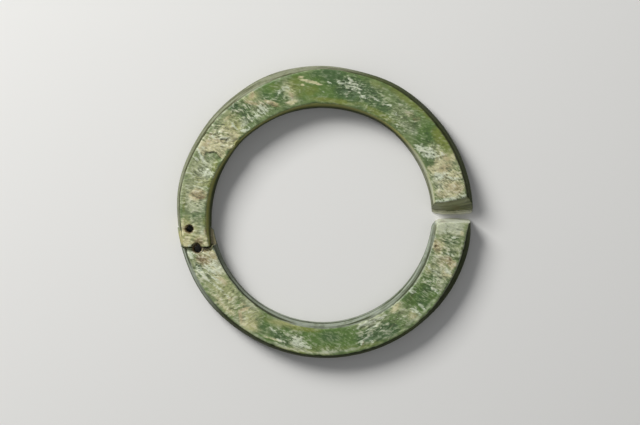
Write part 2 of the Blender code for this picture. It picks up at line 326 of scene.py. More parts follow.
# Depths in millimetres over which the face turns to wall.
SHARP_ARRIS_FADE = (0.0, 0.20)
SOFT_ARRIS_FADE = (-0.05, 0.60)
# The lacing holes, the upper half's first: the X, the Y and the radius of each in millimetres, and
# how far past a hole's edge its stain is whole and where it ends.
LACING_HOLES = ((-28.3, -3.55, 0.75), (-26.7, -7.72, 0.85))
STAIN_WHOLE_TO = 0.15
STAIN_ENDS = 0.45


def worn_soft(points, soft_from, soft_to):
    """1 where the arris of the opening is worn soft, between two angles, and 0 elsewhere."""
    angles = round_ring(points)
    inside = eased(*OPENING_SIDE, from_axis(points) / MM)
    return inside * eased(soft_from - 10, soft_from + 10, angles) * eased(soft_to + 5, soft_to - 5, angles)


def below_top(points, top, softened):
    """0 on the face and 1 down the walls, at once under a sharp arris and slowly under a soft one."""
    depth = top - points[:, 2] / MM
    return softened * eased(*SOFT_ARRIS_FADE, depth) + (1.0 - softened) * eased(*SHARP_ARRIS_FADE, depth)


def in_holes(points):
    """1 in the lacing holes and at their mouths, and 0 elsewhere."""
    x, y = points[:, 0] / MM, points[:, 1] / MM
    inside = np.zeros(len(points))
    for hole_x, hole_y, hole_radius in LACING_HOLES:
        away = np.hypot(x - hole_x, y - hole_y)
        stained = eased(hole_radius + STAIN_ENDS, hole_radius + STAIN_WHOLE_TO, away)
        inside = np.maximum(inside, stained)
    return inside


def dent(points, normals, dents):
    """Presses dents into the stone.

    A dent is an angle in degrees, a radius and a height in millimetres for its middle, how far it
    spreads, and its depth.
    """
    for angle, radius, height, spread, depth in dents:
        turn = math.radians(angle)
        middle = np.array([radius * math.cos(turn), radius * math.sin(turn), height]) * MM
        away = np.linalg.norm(points - middle, axis=1) / (spread * MM)
        points -= normals * (depth * MM * np.clip(1.0 - away**2, 0.0, 1.0) ** 1.5)[:, None]


def keep(piece, name, values):
    """Stores one value for each vertex, for the stone's material to read."""
    layer = piece.data.attributes.new(name, "FLOAT", "POINT")
    layer.data.foreach_set("value", np.asarray(values, np.float32))


def srgb(red, green, blue):
    """A shader colour from a screen's red, green and blue, each from 0 to 255."""
    parts = [value / 255.0 for value in (red, green, blue)]
    return tuple(c / 12.92 if c <= 0.04045 else ((c + 0.055) / 1.055) ** 2.4 for c in parts) + (1.0,)


# The jade's cloudy tints, each laid over the ones before it: its name, its colour, how much the fibres'
# crests draw it on (or off, below 0), which lays pale tints on the crests and dark ones in the hollows
# partly as painted highlight and shade, and the most of it that shows.
STONE_TINTS = (
    ("pale", srgb(151, 157, 117), 0.20, 0.90),
    ("leaf", srgb(80, 109, 44), -0.20, 0.87),
    ("olive", srgb(114, 124, 52), -0.20, 0.85),
    ("deep", srgb(65, 91, 50), -0.70, 0.90),
    ("straw", srgb(164, 163, 106), 0.40, 0.80),
    ("milky", srgb(180, 185, 158), 0.25, 0.85),
    ("cream", srgb(194, 188, 146), 0.80, 0.85),
    ("tan", srgb(162, 147, 108), 0.60, 0.75),
    # Frost is partly whitish stone and partly painted glints, drawn strongly onto the fibres' crests.
    ("frost_and_glint", srgb(190, 198, 174), 2.20, 0.85),
    ("brown", srgb(112, 92, 58), -0.50, 0.85),
)
# The tints of the weathered crust, which is gone from the hollows that flaked off below a ledge.
CRUST_TINTS = ("straw", "cream", "tan", "brown")
BORE_STAIN = 0.9

# The relief's parts, in millimetres, and the share of the fibres that lies below the face.
FACE_WAVE = 0.030
FACE_WAVE_LUMP = 4.0
FIBRE_RELIEF = 0.030
FLAKED_RELIEF = 0.150
WORN_LEVEL = 0.7
LINE_RELIEF = 0.040
ARRIS_WEAR = 0.110
ARRIS_WEAR_LUMP = 0.9


def work_surface(piece, fabric, places, scars, ledges, dents, top, soft_arris, slit_side, seed):
    """Grinds, saws, flakes and wears the fine mesh, and keeps what its material reads.

    The top is the height of the half's flat face. A scar is a place, its depth and its softness.
    """
    count = len(piece.data.vertices)
    points = read_vectors(piece.data.vertices, count, "co")
    normals = read_vectors(piece.data.vertex_normals, count, "vector")
    face, wall, sawn, arris = worked_faces(points, normals, slit_side)
    fibre = fibres(points, fabric, seed)
    rough = patches(points, places["rough"], seed + 20)
    ground_lines, saw_lines = tool_marks(points, top, seed)

    relief = face * FACE_WAVE * grain(points, FACE_WAVE_LUMP, seed + 11)
    relief += face * (FIBRE_RELIEF + FLAKED_RELIEF * rough) * (fibre - WORN_LEVEL)
    relief += close_the_lap(points, normals)
    relief += wall * LINE_RELIEF * ground_lines
    relief += sawn * LINE_RELIEF * saw_lines
    relief -= arris * ARRIS_WEAR * eased(0.10, 0.80, grain(points, ARRIS_WEAR_LUMP, seed + 10))
    for place, depth, softness in scars:
        relief -= np.maximum(face, arris) * depth * patches(points, [place], seed + 30, softness)
    drop, foot, hollow = below_ledges(points, ledges, seed + 40)
    relief -= np.maximum(face, arris) * drop
    points += normals * (relief * MM)[:, None]
    dent(points, normals, dents)
    points[:, 2] = np.maximum(points[:, 2], 0.0)
    piece.data.vertices.foreach_set("co", points.astype(np.float32).ravel())
    piece.data.update()

    softened = worn_soft(points, *soft_arris)
    bored = in_holes(points)
    keep(piece, "fibre", fibre)
    keep(piece, "rough", rough)
    keep(piece, "soft", softened)
    # Painted shadow at the foot of each ledge.
    keep(piece, "foot", foot)
    keep(piece, "steep", steep_share(points, fabric))
    keep(piece, "wall", wall * below_top(points, top, softened) * (1.0 - bored))
    keep(piece, "sawn", sawn)
    # Through these lines the undercut under the arris also darkens the walls' colour, as painted shade.
    keep(piece, "lines", 0.5 + 0.5 * np.where(sawn > wall, saw_lines, ground_lines))
    for number, (tint, *_) in enumerate(STONE_TINTS):
        held = patches(points, places[tint], 5 * seed + 10 * number)
        if tint in CRUST_TINTS:
            held = held * (1.0 - hollow)
        if tint == "brown":
            held = np.maximum(held, BORE_STAIN * bored)
        keep(piece, tint, held)


def grey_film_and_light(piece, outer_wall, opening_wall):
    """A thin grey coat on the outer wall and on the opening's, each between two angles, mostly where the
    walls face the light: partly wear and partly painted light.
    """
    points = read_vectors(piece.data.vertices, len(piece.data.vertices), "co")
    angles = round_ring(points)
    outside = eased(*OUTER_SIDE, from_axis(points) / MM)
    on_outer, on_opening = (
        eased(start - 8, start + 8, angles) * eased(end + 8, end - 8, angles)
        for start, end in (outer_wall, opening_wall)
    )
    # A grey coat of wear and painted light, mostly where the walls face the light.
    keep(piece, "film_and_light", outside * on_outer + (1.0 - outside) * on_opening)


class JadeNodes:
    """One half's material, with a method for each kind of node that the jade's finish is made of."""

    def __init__(self, name):
        self.material = bpy.data.materials.new(name)
        self.material.use_nodes = True
        self.tree = self.material.node_tree
        self.shader = self.tree.nodes["Principled BSDF"]
        self.place = self.tree.nodes.new("ShaderNodeTexCoord").outputs["Object"]
        parted = self.tree.nodes.new("ShaderNodeSeparateXYZ")
        self.tree.links.new(self.place, parted.inputs["Vector"])
        self.height = parted.outputs["Z"]

    def noise(self, lump, lie, detail=3.0, roughness=0.6, distortion=0.0):
        """Noise whose lumps have the given sizes in millimetres, along and across their lie and up."""
        turned = self.tree.nodes.new("ShaderNodeMapping")
        turned.vector_type = "TEXTURE"
        turned.inputs["Rotation"].default_value = (0.0, 0.0, math.radians(lie))
        turned.inputs["Scale"].default_value = [size * MM for size in lump]
        made = self.tree.nodes.new("ShaderNodeTexNoise")
        made.inputs["Scale"].default_value = 1.0
        made.inputs["Detail"].default_value = detail
        made.inputs["Roughness"].default_value = roughness
        made.inputs["Distortion"].default_value = distortion
        self.tree.links.new(self.place, turned.inputs["Vector"])
        self.tree.links.new(turned.outputs["Vector"], made.inputs["Vector"])
        return made.outputs["Fac"]

    def kept(self, name):
        """The value that keep() stored for each vertex."""
        made = self.tree.nodes.new("ShaderNodeAttribute")
        made.attribute_name = name
        return made.outputs["Fac"]

    def put(self, value, socket):
        """A number or a colour goes on the socket itself, and another node's output is linked to it."""
        if isinstance(value, (float, tuple)):
            socket.default_value = value
        else:
            self.tree.links.new(value, socket)

    def maths(self, operation, one, other):
        made = self.tree.nodes.new("ShaderNodeMath")
        made.operation = operation
        self.put(one, made.inputs[0])
        self.put(other, made.inputs[1])
        return made.outputs[0]

    def times(self, one, other):
        return self.maths("MULTIPLY", one, other)

    def plus(self, one, other):
        return self.maths("ADD", one, other)

    def minus(self, one, other):
        return self.maths("SUBTRACT", one, other)

    def between(self, value, low, high, most=1.0):
        """0 at low and most at high, eased. Low may be the greater of the two."""
        made = self.tree.nodes.new("ShaderNodeMapRange")
        made.interpolation_type = "SMOOTHSTEP"
        made.inputs["From Min"].default_value = min(low, high)
        made.inputs["From Max"].default_value = max(low, high)
        made.inputs["To Min"].default_value = 0.0 if low < high else most
        made.inputs["To Max"].default_value = most if low < high else 0.0
        self.tree.links.new(value, made.inputs["Value"])
        return made.outputs["Result"]

    def at_height(self, low, high, most=1.0):
        """0 at one height in millimetres and most at the other, eased."""
        return self.between(self.height, low * MM, high * MM, most)

    def lay(self, under, over, share):
        """One colour laid over another by a share."""
        made = self.tree.nodes.new("ShaderNodeMix")
        made.data_type = "RGBA"
        self.tree.links.new(share, made.inputs["Factor"])
        self.put(under, made.inputs[6])
        self.put(over, made.inputs[7])
        return made.outputs[2]


MATTED_LUMP = (1.10, 0.38, 0.7)
MATTED_DETAIL = {"detail": 4.0, "roughness": 0.74, "distortion": 0.6}


def matted_fibres(jade, tilt, steep_tilt):
    """The finest fibres, matted together, at the usual tilt or in some stretches at the steep one."""
    usual = jade.noise(MATTED_LUMP, tilt, **MATTED_DETAIL)
    steep = jade.noise(MATTED_LUMP, steep_tilt, **MATTED_DETAIL)
    return jade.plus(usual, jade.times(jade.kept("steep"), jade.minus(steep, usual)))


DARK_JADE = srgb(87, 107, 61)
LIGHT_JADE = srgb(111, 129, 79)
# A painted highlight for the fibres' crests and painted shade for their hollows.
CREST_HIGHLIGHT = srgb(214, 214, 188)
HOLLOW_SHADE = srgb(46, 54, 32)
# Painted shadow at the foot of each ledge.
LEDGE_FOOT_SHADE = srgb(64, 62, 30)
LEDGE_FOOT_SHADE_SHARE = 0.75
COARSE_SHARE = 0.36
FINE_SHARE = 0.64
# How much of the painted highlight on the crests and of the painted shade in the hollows shows on polished
# stone, and how much more where it flaked.
CREST_HIGHLIGHT_SHARE = 0.16
HOLLOW_SHADE_SHARE = 0.22
FLAKED_SHARE = 0.50


def cloudy_jade(jade, mottle, matted):
    """The jade's cloudy tints, with painted highlights on its fibres' crests, painted shade in their
    hollows, and painted shadow at the foot of each ledge.
    """
    flaked = jade.times(jade.kept("rough"), FLAKED_SHARE)
    coarse = jade.times(jade.kept("fibre"), COARSE_SHARE)
    thread = jade.plus(coarse, jade.times(jade.between(matted, 0.31, 0.69), FINE_SHARE))
    colour = jade.lay(DARK_JADE, LIGHT_JADE, jade.between(mottle, 0.36, 0.64))
    for tint, shade, by_crests, most in STONE_TINTS:
        held = jade.kept(tint)
        drawn = jade.times(jade.minus(thread, 0.5), by_crests)
        share = jade.between(jade.plus(held, drawn), 0.05, 0.95, most)
        share = jade.times(share, jade.between(held, 0.0, 0.25))
        colour = jade.lay(colour, shade, share)
    # Painted highlight on the crests and painted shade in the hollows.
    crests = jade.times(jade.between(thread, 0.52, 0.85), jade.plus(flaked, CREST_HIGHLIGHT_SHARE))
    colour = jade.lay(colour, CREST_HIGHLIGHT, crests)
    hollows = jade.times(jade.between(thread, 0.50, 0.18), jade.plus(flaked, HOLLOW_SHADE_SHARE))
    colour = jade.lay(colour, HOLLOW_SHADE, hollows)
    return jade.lay(colour, LEDGE_FOOT_SHADE, jade.times(jade.kept("foot"), LEDGE_FOOT_SHADE_SHARE))


# The walls' dark and light tints are partly their own colour and partly painted shade.
DARK_WALL_AND_SHADE = srgb(34, 38, 13)
LIGHT_WALL_AND_SHADE = srgb(64, 70, 32)
# Painted glow on the soft stretches of the opening's arris, on the bare wall and on its grey coat.
SOFT_ARRIS_GLOW = srgb(160, 158, 86)
SOFT_ARRIS_GLOW_ON_FILM = srgb(176, 180, 154)
STRAW_FILM_AND_LIGHT = srgb(182, 176, 126)
# Millimetres below the face, from where the soft arris's painted glow starts to where it is whole.
SOFT_ARRIS_DEPTH = (2.0, 0.2)
WALL_AND_SHADE_COVER = 0.90
# The walls' grey coat is partly wear and partly painted light.
FILM_AND_LIGHT_COVER = 0.92
FILM_AND_LIGHT_WORN_OFF = 0.30


def wall_colours_with_painted_light(jade, colour, mottle, top, film_and_light_tints):
    """Dark ground walls, partly their own colour and partly painted shade, under a thin grey coat that is
    partly wear and partly painted light, both lighter by a painted glow on the soft stretches of arris.
    """
    lines = jade.kept("lines")
    wall = jade.kept("wall")
    deep, shallow = SOFT_ARRIS_DEPTH
    # Painted glow where the arris is soft.
    soft_arris = jade.times(jade.kept("soft"), jade.at_height(top - deep, top - shallow))
    ground = jade.lay(DARK_WALL_AND_SHADE, LIGHT_WALL_AND_SHADE, jade.between(lines, 0.25, 0.80))
    ground = jade.lay(ground, SOFT_ARRIS_GLOW, soft_arris)
    film_and_light = jade.lay(*film_and_light_tints, jade.between(lines, 0.20, 0.65))
    film_and_light = jade.lay(film_and_light, SOFT_ARRIS_GLOW_ON_FILM, soft_arris)
    film_and_light = jade.lay(film_and_light, STRAW_FILM_AND_LIGHT, jade.between(jade.kept("straw"), 0.45, 0.80, 0.85))
    left = jade.minus(FILM_AND_LIGHT_COVER, jade.between(mottle, 0.50, 0.36, FILM_AND_LIGHT_WORN_OFF))
    # The grey coat: partly wear, partly painted light.
    film_and_light_share = jade.times(jade.kept("film_and_light"), jade.times(wall, left))
    # The walls darkened: partly their own colour, partly painted shade.
    colour = jade.lay(colour, ground, jade.times(wall, WALL_AND_SHADE_COVER))
    return jade.lay(colour, film_and_light, film_and_light_share)


SAWN_STAIN = srgb(112, 94, 60)
# Painted highlight along the lowest edge of the sawn end.
LIP_HIGHLIGHT = srgb(244, 242, 222)
SAWN_BELOW_TOP = 0.3
# Heights in millimetres over which each starts or ends: the painted shade in the groove at the foot of the
# saw's cut, the broken stone below it, and the painted highlight along the lip of that break.
GROOVE_FOOT = (0.9, 1.1)
GROOVE_TOP = (1.5, 1.2)
BREAK_TOP = (0.95, 0.75)
LIP_TOP = (0.50, 0.25)


def sawn_end(jade, colour, mottle, matted, top, sawn_tints):
    """The slit's side: saw lines, painted shade in the groove where the saw stopped, and broken stone
    below with a painted highlight along its lowest edge.
    """
    groove, face, foot = sawn_tints
    sawn = jade.lay(groove, face, jade.between(jade.kept("lines"), 0.15, 0.90))
    sawn = jade.lay(sawn, SAWN_STAIN, jade.between(mottle, 0.52, 0.66, 0.45))
    # Painted shade in the groove where the saw stopped.
    groove_shade = jade.times(jade.at_height(*GROOVE_FOOT), jade.at_height(*GROOVE_TOP))
    sawn = jade.lay(sawn, groove, groove_shade)
    flaked = jade.lay(groove, foot, jade.between(matted, 0.30, 0.56))
    sawn = jade.lay(sawn, flaked, jade.at_height(*BREAK_TOP, 0.90))
    # Painted highlight along the lowest edge.
    sawn = jade.lay(sawn, LIP_HIGHLIGHT, jade.at_height(*LIP_TOP, 0.90))
    share = jade.times(jade.kept("sawn"), jade.at_height(top, top - SAWN_BELOW_TOP, 0.92))
    return jade.lay(colour, sawn, share)


MOTTLE_LUMP = (2.4, 2.4, 2.4)
POLISHED_ROUGHNESS = 0.30
MATTED_ROUGHNESS = 0.20
FLAKED_ROUGHNESS = 0.18
GROUND_ROUGHNESS = 0.15
POLISHED_SHINE = 0.5
WALL_DULLING = 0.42
BUMP_DEPTH = 0.08 * MM
BUMP_STRENGTH = 0.8
POLISHED_BUMP = 0.35
SCATTER_SHARE = 0.10
SCATTER_DEPTH = 0.5 * MM
SCATTER_TINT = (0.8, 1.0, 0.4)


def stone_material(name, top, tilt, steep_tilt, film_and_light_tints, sawn_tints):
    """Green jade: cloudy colours where the stone holds them, fine fibres, and ground side walls darkened
    with painted shade.

    The top is the height of the half's flat face in millimetres. The tilts are those of its finest fibres,
    which lie steeper in some stretches. The grey coat on its walls, partly wear and partly painted light,
    has a dark and a light tint, and its sawn end has one for the saw's groove, one for the face and one
    for the broken foot.
    """
    jade = JadeNodes(name)
    mottle = jade.noise(MOTTLE_LUMP, tilt)
    matted = matted_fibres(jade, tilt, steep_tilt)
    colour = cloudy_jade(jade, mottle, matted)
    colour = wall_colours_with_painted_light(jade, colour, mottle, top, film_and_light_tints)
    colour = sawn_end(jade, colour, mottle, matted, top, sawn_tints)
    jade.put(colour, jade.shader.inputs["Base Color"])

    rough = jade.kept("rough")
    wall = jade.kept("wall")
    dull = jade.plus(jade.times(rough, FLAKED_ROUGHNESS), jade.times(wall, GROUND_ROUGHNESS))
    dull = jade.plus(jade.times(matted, MATTED_ROUGHNESS), jade.plus(dull, POLISHED_ROUGHNESS))
    jade.put(dull, jade.shader.inputs["Roughness"])
    shine = jade.minus(POLISHED_SHINE, jade.times(wall, WALL_DULLING))
    jade.put(shine, jade.shader.inputs["Specular IOR Level"])
    bump = jade.tree.nodes.new("ShaderNodeBump")
    bump.inputs["Distance"].default_value = BUMP_DEPTH
    bump.inputs["Strength"].default_value = BUMP_STRENGTH
    relief = jade.times(matted, jade.plus(rough, POLISHED_BUMP))
    jade.put(jade.plus(relief, jade.times(jade.kept("lines"), wall)), bump.inputs["Height"])
    jade.put(bump.outputs["Normal"], jade.shader.inputs["Normal"])
    jade.shader.inputs["Subsurface Weight"].default_value = SCATTER_SHARE
    jade.shader.inputs["Subsurface Scale"].default_value = SCATTER_DEPTH
    jade.shader.inputs["Subsurface Radius"].default_value = SCATTER_TINT
    return jade.material


# A stretch of the ring runs between two angles in degrees, counted from the slit at +X.
UPPER_TOP = 5.0
UPPER_SOFT_ARRIS = (-20, 205)
# The grey coat lies mostly where the walls face the light: partly wear, partly painted light.
UPPER_FILM_AND_LIGHT_OUTSIDE = (78, 212)
UPPER_FILM_AND_LIGHT_IN_OPENING = (-20, 38)
UPPER_FILM_AND_LIGHT_TINTS = (srgb(68, 70, 44), srgb(126, 129, 106))
UPPER_SAWN_TINTS = (srgb(92, 94, 62), srgb(150, 154, 112), srgb(206, 204, 178))
UPPER_TILT = -9.0
UPPER_STEEP_TILT = -38.0
UPPER_FABRIC = (
    (8, 20, 2), (52, 26, -18), (84, 20, -8), (108, 12, -14), (126, 10, -40), (142, 10, -14),
    (157, 8, -38), (172, 12, -12), (194, 14, -4),
)
# Where the stone is flaked rough and where each tint lies, from the slit round to the break.
UPPER_PLACES = {
    "rough": (
        (14, 26.6, 5, 4.6, 80, 0.9), (30, 25.2, 3.4, 2.6, -15, 1), (50, 25.6, 5, 3.2, -40, 0.65),
        (66, 25.8, 4, 2.6, -25, 0.6), (78, 26.8, 3.4, 2.4, -12, 1), (96, 27.3, 2, 0.4, -13, 0.4),
        (108, 26, 2.4, 2.4, 10, 0.6), (120, 25.2, 3.2, 2.4, 20, 0.8), (130, 26.6, 4, 4, 40, 1),
        (145, 27.2, 5, 4, 60, 1), (163, 26.8, 3, 3.4, 0, 1), (174, 27.4, 3.6, 3.2, 0, 0.8),
        (188, 27.6, 4.4, 3.6, 90, 0.5),
    ),
    "pale": (
        (14, 26.6, 4.6, 4.4, 80, 0.85), (22, 28.2, 3, 3, 70, 0.9), (31, 26.6, 1.6, 1.4, -20, 0.7),
        (47, 24.8, 3, 1.6, -15, 0.4), (53, 26, 3, 2.6, -20, 0.45), (57, 28.6, 2.4, 1, -34, 0.4),
        (60, 26, 3, 2.4, -30, 0.12), (68, 28.4, 2.6, 1.4, -24, 0.35), (106, 26.5, 1.8, 3, 25, 0.8),
        (122, 26.5, 2, 3.4, 25, 0.6), (138, 27, 2.6, 4, 20, 0.75), (147, 27.2, 3.2, 3, 20, 0.7),
        (156.5, 25.4, 2.2, 1.2, -75, 0.8), (160, 27.5, 4, 3.4, 10, 0.95),
        (172, 27.8, 4.5, 3.4, 90, 1), (187, 27.6, 3, 3.6, 90, 0.9), (192, 27.2, 3, 3.4, 90, 0.8),
    ),
    "leaf": (
        (17.6, 28.9, 1, 0.8, 70, 0.7), (27.4, 27, 1.3, 1.1, 0, 0.8), (32.5, 28.8, 2, 1.1, -60, 0.9),
        (37, 27.2, 2.6, 3.4, -60, 0.95), (44, 28.6, 3, 1.2, -50, 0.5), (62, 24, 4, 1.4, -30, 0.6),
        (77, 28.8, 3, 1, -14, 0.7), (83, 24.8, 5, 1.9, 0, 1), (88, 28.2, 4.4, 2.6, 2, 1.2),
        (93, 26.4, 3, 2.6, 5, 0.9), (97, 24.6, 3.6, 1.4, 0, 0.8), (101, 28.4, 2.6, 1.6, 10, 0.8),
        (102.4, 26.8, 1.8, 2, 0, 0.6), (114, 27.4, 2.2, 3.6, 20, 1), (132, 26.8, 1.4, 1.4, 30, 0.4),
        (155, 28.6, 1.4, 0.8, 60, 0.3),
    ),
    "olive": (
        (31.5, 28.8, 3.4, 1.5, -60, 1.2), (52, 29, 8, 1, -38, 0.7), (60, 23.4, 5, 0.8, -30, 0.8),
        (68, 28.6, 2.6, 1, -24, 0.5), (85, 23.2, 6, 0.7, -5, 0.9), (97, 25.4, 2.2, 1.6, 0, 0.6),
        (102.4, 24.9, 1.6, 1, 5, 0.45), (103, 27.2, 2.2, 2.4, 20, 0.6), (112, 28, 1.4, 1.4, 20, 0.4),
        (138, 25, 2.4, 1, 50, 0.7), (147.5, 29, 1.4, 0.6, 55, 0.5), (158, 24.8, 1.8, 0.7, 68, 0.9),
        (166, 24.8, 1.6, 0.5, 76, 0.8), (176, 29.4, 3, 0.4, 86, 0.6), (188, 25.2, 3, 0.6, 90, 0.8),
    ),
    "deep": (
        (37, 26.4, 1.4, 2, -60, 0.4), (63, 25.4, 2.8, 1.6, -30, 0.7), (71, 26.4, 3.6, 2, -25, 0.9),
        (78, 25, 3, 1.6, -15, 1), (79, 26.8, 3, 2.4, -15, 1), (82, 25, 1.8, 1.6, -8, 0.7),
        (87, 28.6, 2.8, 1.7, 0, 1.25), (87.5, 27.4, 2.2, 1.4, 0, 0.7), (93, 28.8, 2.2, 1, 4, 0.7),
        (112, 26, 1.8, 1.4, 20, 0.7), (117, 26.8, 1.2, 2.2, 25, 0.6), (128.4, 26.4, 2, 1.7, 35, 0.5),
        (131, 28.2, 1.6, 1.8, 30, 1), (154.6, 26.7, 1.3, 1, -20, 0.45), (181.8, 27, 2, 1.7, 0, 0.42),
        (186.4, 26.2, 1.4, 1.2, 0, 0.4),
    ),
    "straw": (
        (13, 27.2, 2.4, 2.4, 0, 0.5), (19, 28.6, 1.6, 1.2, 70, 0.3), (24, 28.4, 1.8, 1.4, 60, 0.6),
        (105.5, 26.4, 1.4, 1.6, 20, 0.5), (123, 28.4, 2, 1.2, 20, 0.7),
        (134, 27.6, 2.2, 1.6, 20, 0.5), (137, 26, 3, 2.4, 0, 0.7), (166, 26, 2.6, 1.4, 0, 0.6),
        (189, 29.2, 3.6, 1.3, 86, 1), (191.4, 27.4, 1.4, 1.6, 0, 0.5),
        (192.8, 27.4, 1.2, 3.8, 0, 0.7),
    ),
    "milky": (
        (12.5, 25, 1.6, 1.2, 80, 0.6), (17, 25.2, 2, 1.4, 80, 0.7), (17.8, 26.6, 1.2, 1.2, 0, 0.5),
        (28.5, 25.1, 2.2, 1.1, -15, 0.65), (42.5, 24.8, 1.6, 1.2, -15, 0.45),
        (48, 24.6, 1.8, 0.6, -20, 0.4), (78, 27, 2.6, 1.3, -12, 0.38), (132, 25, 1.4, 1, 30, 0.6),
        (152.6, 28.6, 1.5, 1, 50, 1.1), (158.6, 26.6, 1.2, 1.2, -30, 0.4),
        (162, 26.6, 1.8, 1.8, 0, 0.5), (176, 27.2, 3, 2.4, 90, 0.4), (177.4, 25.4, 2, 0.9, 90, 0.5),
        (190, 26, 1.8, 1.6, 90, 0.5),
    ),
    "cream": (
        (8.5, 26.6, 1.6, 4, 85, 0.8), (15, 26.6, 3, 3, 80, 0.75), (21.5, 24.6, 1.6, 1.2, 20, 0.9),
        (21.5, 26.2, 1.8, 3.5, 12, 1.1), (22.6, 28.6, 1.3, 1.1, 70, 0.8),
        (96.4, 27.3, 2.4, 0.28, -15, 1.5), (100, 26.9, 0.4, 0.25, -30, 1),
        (100.3, 28.6, 0.7, 0.28, 5, 1.1), (107, 23.9, 1.4, 0.5, 20, 0.8),
        (116.4, 25.5, 1.8, 0.35, -14, 1), (122, 28.6, 0.8, 0.5, 60, 0.8), (140, 26.5, 3, 1, -10, 0.6),
        (142.4, 24.7, 2.2, 1.2, 40, 1.4), (143.2, 25.4, 2, 0.45, -12, 0.9),
        (147, 27, 2.8, 1.9, -20, 0.9), (147.6, 25.3, 2.8, 1.6, 40, 1.3),
        (150.6, 26.9, 1.6, 0.6, -19, 1.2), (151.8, 24.9, 1.2, 1, 60, 1.2),
        (152.8, 28.4, 1.6, 1.4, 40, 1.3), (170, 28.8, 1.6, 0.6, 80, 0.3),
        # The cream places from 187 to 193.4 degrees at radii of 29.3 to 30 lie on the outer arris by the
        # break and paint its highlight in cream.
        (172.8, 27.2, 1.3, 1.8, 0, 1), (187, 30, 2.6, 0.5, 82, 0.85),
        (191.4, 29.3, 1.2, 0.8, 80, 1.2), (192, 25.6, 0.8, 1.6, 90, 0.7),
        (192.4, 29.8, 1.1, 0.6, 80, 1), (193.4, 29.5, 0.8, 1, 0, 1.4), (194, 28.2, 2.2, 0.5, 0, 0.7),
        (194.2, 26.6, 0.6, 2.4, 90, 0.7),
    ),
    "tan": (
        (8, 24.4, 1.6, 0.9, 0, 0.5), (11, 27.4, 2.4, 1.2, 5, 0.8), (20, 26.6, 2.2, 0.9, 30, 0.7),
        (24.5, 27.6, 1.4, 0.7, -30, 0.7), (45, 27.3, 0.8, 0.6, 20, 0.5),
        (49, 26.8, 1.2, 0.8, -20, 0.4), (106, 25.2, 0.9, 0.5, -60, 0.7),
        (115.8, 25.1, 1.9, 0.6, -14, 0.8), (120, 25.8, 1.8, 0.4, -35, 0.6),
        (122, 28.7, 1, 0.5, 70, 0.8), (124, 27.3, 1.9, 0.45, -12, 0.8),
        (136, 28.3, 1.6, 0.5, 20, 0.5), (146, 26.6, 1.4, 0.6, -15, 0.6),
        (150, 28.4, 1.4, 0.8, 40, 0.8), (172.5, 26.8, 2, 1.1, 0, 0.95), (187.4, 29.2, 1, 0.9, 0, 0.8),
        (189.5, 25.3, 0.9, 0.4, 90, 0.8), (192.6, 26.9, 1.2, 0.9, 0, 0.5),
    ),
    # Frost: whitish stone and painted glints.
    "frost_and_glint": (
        (5.5, 26.2, 3.8, 0.45, 8, 0.9), (6.6, 28.8, 1.4, 0.7, 12, 1),
        (14.5, 27.6, 2.4, 0.45, -4, 0.8), (17, 25.4, 1.6, 0.9, 10, 0.8), (27, 27, 1, 0.8, -30, 0.25),
        (28.5, 25.2, 2.4, 1.2, -15, 0.75), (34, 23.9, 1.3, 0.8, -12, 0.9),
        (50, 23.5, 0.6, 0.3, -30, 0.8), (54, 25.2, 0.9, 0.35, -18, 0.8), (59, 26, 0.8, 0.3, -18, 0.8),
        (65, 25.8, 0.8, 0.3, -20, 0.6), (71.5, 25.3, 1.1, 0.4, -15, 0.48),
        (74.4, 26.3, 1.2, 0.6, -20, 0.35), (77, 26.9, 1.9, 1.1, -10, 0.42),
        (79, 28, 0.7, 0.3, -30, 0.6), (80.5, 27.4, 1.4, 0.6, -14, 0.42),
        (83, 27.2, 0.9, 0.35, -10, 0.8), (88, 27, 0.5, 0.25, -20, 0.6), (91, 25, 0.4, 0.25, -20, 0.7),
        (106.5, 27, 0.8, 0.3, -50, 0.5), (109.5, 26.9, 1.2, 0.4, 40, 0.7),
        (121.5, 24.8, 1.8, 1, 25, 0.8), (127, 24.6, 1.4, 0.5, 30, 0.5),
        (132.4, 24.7, 1.3, 0.5, 30, 0.6), (134.5, 24, 1.6, 0.45, 16, 0.8),
        (136.8, 25.8, 1.4, 0.4, -57, 0.8), (142.4, 24.9, 1.4, 0.7, 40, 0.35),
        (144, 26, 1.8, 0.4, -10, 0.7), (145.5, 28, 1.4, 0.6, 30, 0.5), (148, 25.2, 1.4, 0.7, 40, 0.3),
        (152.4, 28.8, 0.9, 0.6, 40, 0.7), (155.8, 28.2, 2, 0.35, -62, 0.9),
        (157, 28.6, 1, 0.6, 0, 0.6), (161, 26, 2.2, 1.2, -30, 0.6), (163.5, 26.8, 3.2, 0.3, -10, 0.4),
        (166.5, 27, 3.4, 0.3, -9, 0.4), (169, 27.2, 3, 0.3, -6, 0.4), (170, 28.9, 0.7, 0.5, 0, 0.6),
        (194.4, 29.2, 0.5, 0.45, 0, 0.9),
    ),
    "brown": (
        (8.5, 28.4, 0.7, 0.3, 60, 0.6), (46, 26.9, 0.6, 0.3, -20, 0.5), (106, 25, 0.5, 0.3, 0, 0.5),
        (115.2, 24.4, 1, 0.25, -14, 0.5), (146, 28.8, 0.5, 0.4, 50, 0.7),
        (171.8, 27.4, 0.8, 0.3, 20, 0.6), (173.5, 25.9, 1, 0.35, 0, 0.9), (187.3, 28.7, 1, 1, 0, 0.8),
        (189.5, 25, 0.6, 0.25, 90, 0.7), (193.4, 27.2, 1.1, 0.9, 0, 0.7),
    ),
}
